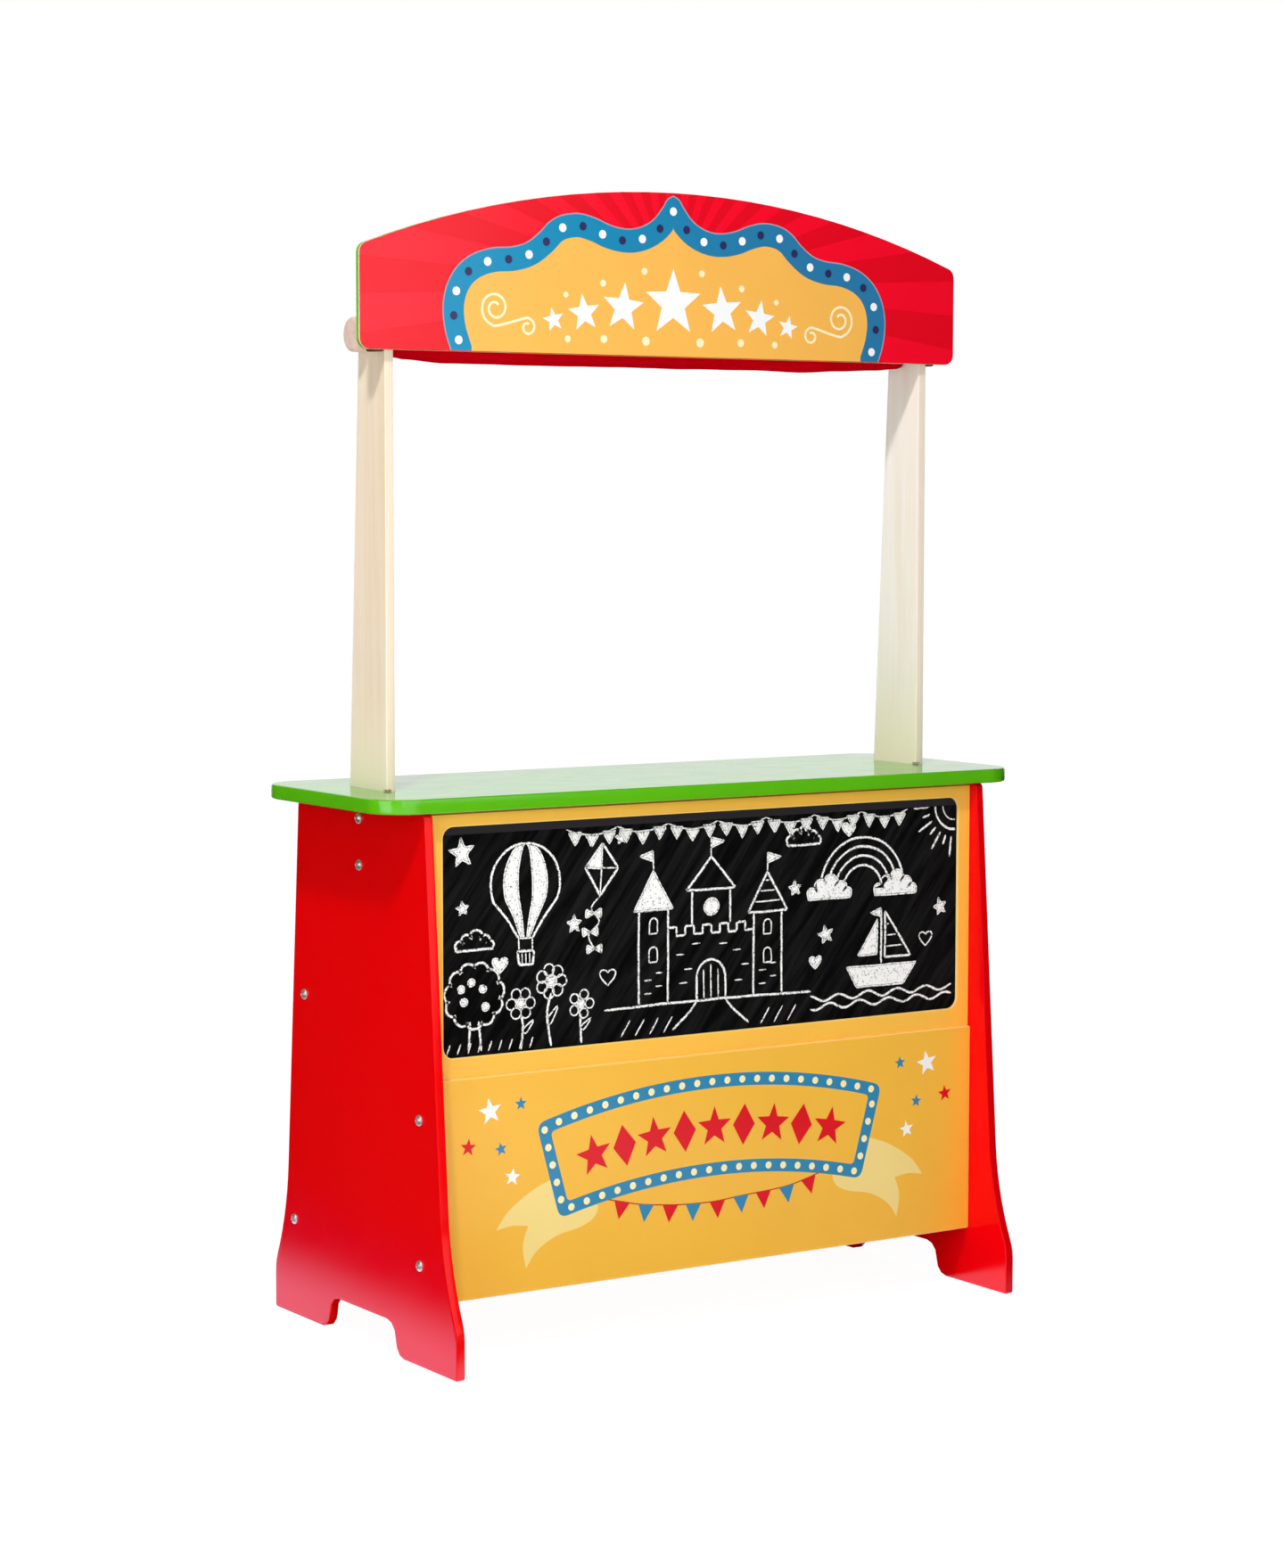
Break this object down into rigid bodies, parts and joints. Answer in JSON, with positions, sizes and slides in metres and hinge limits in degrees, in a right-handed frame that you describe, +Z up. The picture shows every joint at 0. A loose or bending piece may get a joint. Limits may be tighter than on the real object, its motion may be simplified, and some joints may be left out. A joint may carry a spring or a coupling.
{
  "type": "puppet theater stand",
  "caption": "Free-standing children's puppet theatre: side panels with feet, counter, chalkboard front, open shelves behind, uprights with an arched sign and a turning curtain roller.",
  "frame": {"origin": "on the floor, at the middle of the stand's width and depth", "axes": "+X to the right as the audience sees it, +Y to the back where the player stands, +Z up"},
  "size_m": [0.7926, 0.386, 1.1803],
  "materials": {
    "red_paint": "satin lacquer on board, edges slightly rounded",
    "green_paint": "glossy lacquer on board",
    "yellow_paint": "satin lacquer on board, with printed decoration on the lower panel",
    "chalkboard_black": "matte chalkboard paint on hardboard",
    "shelf_wood": "clear satin lacquer on plywood",
    "pale_plywood": "clear satin lacquer on birch plywood, layers showing on the edges",
    "printed_sign": "satin print with a cream edge on hardboard",
    "sign_green": "satin lacquer on hardboard",
    "brown_plastic": "moulded, fine matte",
    "turned_wood": "clear satin lacquer on turned beech",
    "curtain_cloth": "plain woven cotton, rolled up",
    "nickel_steel": "nickel plate",
    "dowel_wood": "bare fluted beech"
  },
  "bodies": {
    "stand": {"bottom_shelf": "shelf_wood", "bottom_shelf_barrel_nut_left": "nickel_steel", "bottom_shelf_barrel_nut_right": "nickel_steel", "bottom_shelf_bolt_left": "nickel_steel", "bottom_shelf_bolt_right": "nickel_steel", "bottom_shelf_dowel_left": "dowel_wood", "bottom_shelf_dowel_right": "dowel_wood", "bracket_screw_left": "nickel_steel", "bracket_screw_right": "nickel_steel", "chalkboard": "chalkboard_black", "counter_dowel_front_left": "dowel_wood", "counter_dowel_front_right": "dowel_wood", "counter_dowel_rear_left": "dowel_wood", "counter_dowel_rear_right": "dowel_wood", "counter_top": "green_paint", "front_barrel_nut_lower_left": "nickel_steel", "front_barrel_nut_lower_right": "nickel_steel", "front_barrel_nut_upper_left": "nickel_steel", "front_barrel_nut_upper_right": "nickel_steel", "front_bolt_lower_left": "nickel_steel", "front_bolt_lower_right": "nickel_steel", "front_bolt_upper_left": "nickel_steel", "front_bolt_upper_right": "nickel_steel", "front_frame_dowel_lower_left": "dowel_wood", "front_frame_dowel_lower_right": "dowel_wood", "front_frame_dowel_upper_left": "dowel_wood", "front_frame_dowel_upper_right": "dowel_wood", "lower_front_panel": "yellow_paint", "middle_shelf": "shelf_wood", "middle_shelf_barrel_nut_left": "nickel_steel", "middle_shelf_barrel_nut_right": "nickel_steel", "middle_shelf_bolt_left": "nickel_steel", "middle_shelf_bolt_right": "nickel_steel", "middle_shelf_dowel_left": "dowel_wood", "middle_shelf_dowel_right": "dowel_wood", "side_panel_left": "red_paint", "side_panel_right": "red_paint", "sign_backing": "sign_green", "sign_bracket_left": "brown_plastic", "sign_bracket_right": "brown_plastic", "sign_face": "printed_sign", "sign_screw_left": "nickel_steel", "sign_screw_right": "nickel_steel", "upper_front_panel": "yellow_paint", "upright_bolt_lower_left": "nickel_steel", "upright_bolt_lower_right": "nickel_steel", "upright_bolt_upper_left": "nickel_steel", "upright_bolt_upper_right": "nickel_steel", "upright_cap_nut_lower_left": "nickel_steel", "upright_cap_nut_lower_right": "nickel_steel", "upright_cap_nut_upper_left": "nickel_steel", "upright_cap_nut_upper_right": "nickel_steel", "upright_left": "pale_plywood", "upright_right": "pale_plywood"},
    "curtain_roller": {"curtain_rod": "turned_wood", "curtain_knob_left": "turned_wood", "curtain_knob_right": "turned_wood", "curtain_roll": "curtain_cloth"}
  },
  "joints": [
    {"name": "curtain_roller_turn", "type": "hinge", "parent": "stand", "child": "curtain_roller", "pos_m": [0, 0, 1.0265], "axis": [1, 0, 0], "continuous": true}
  ]
}
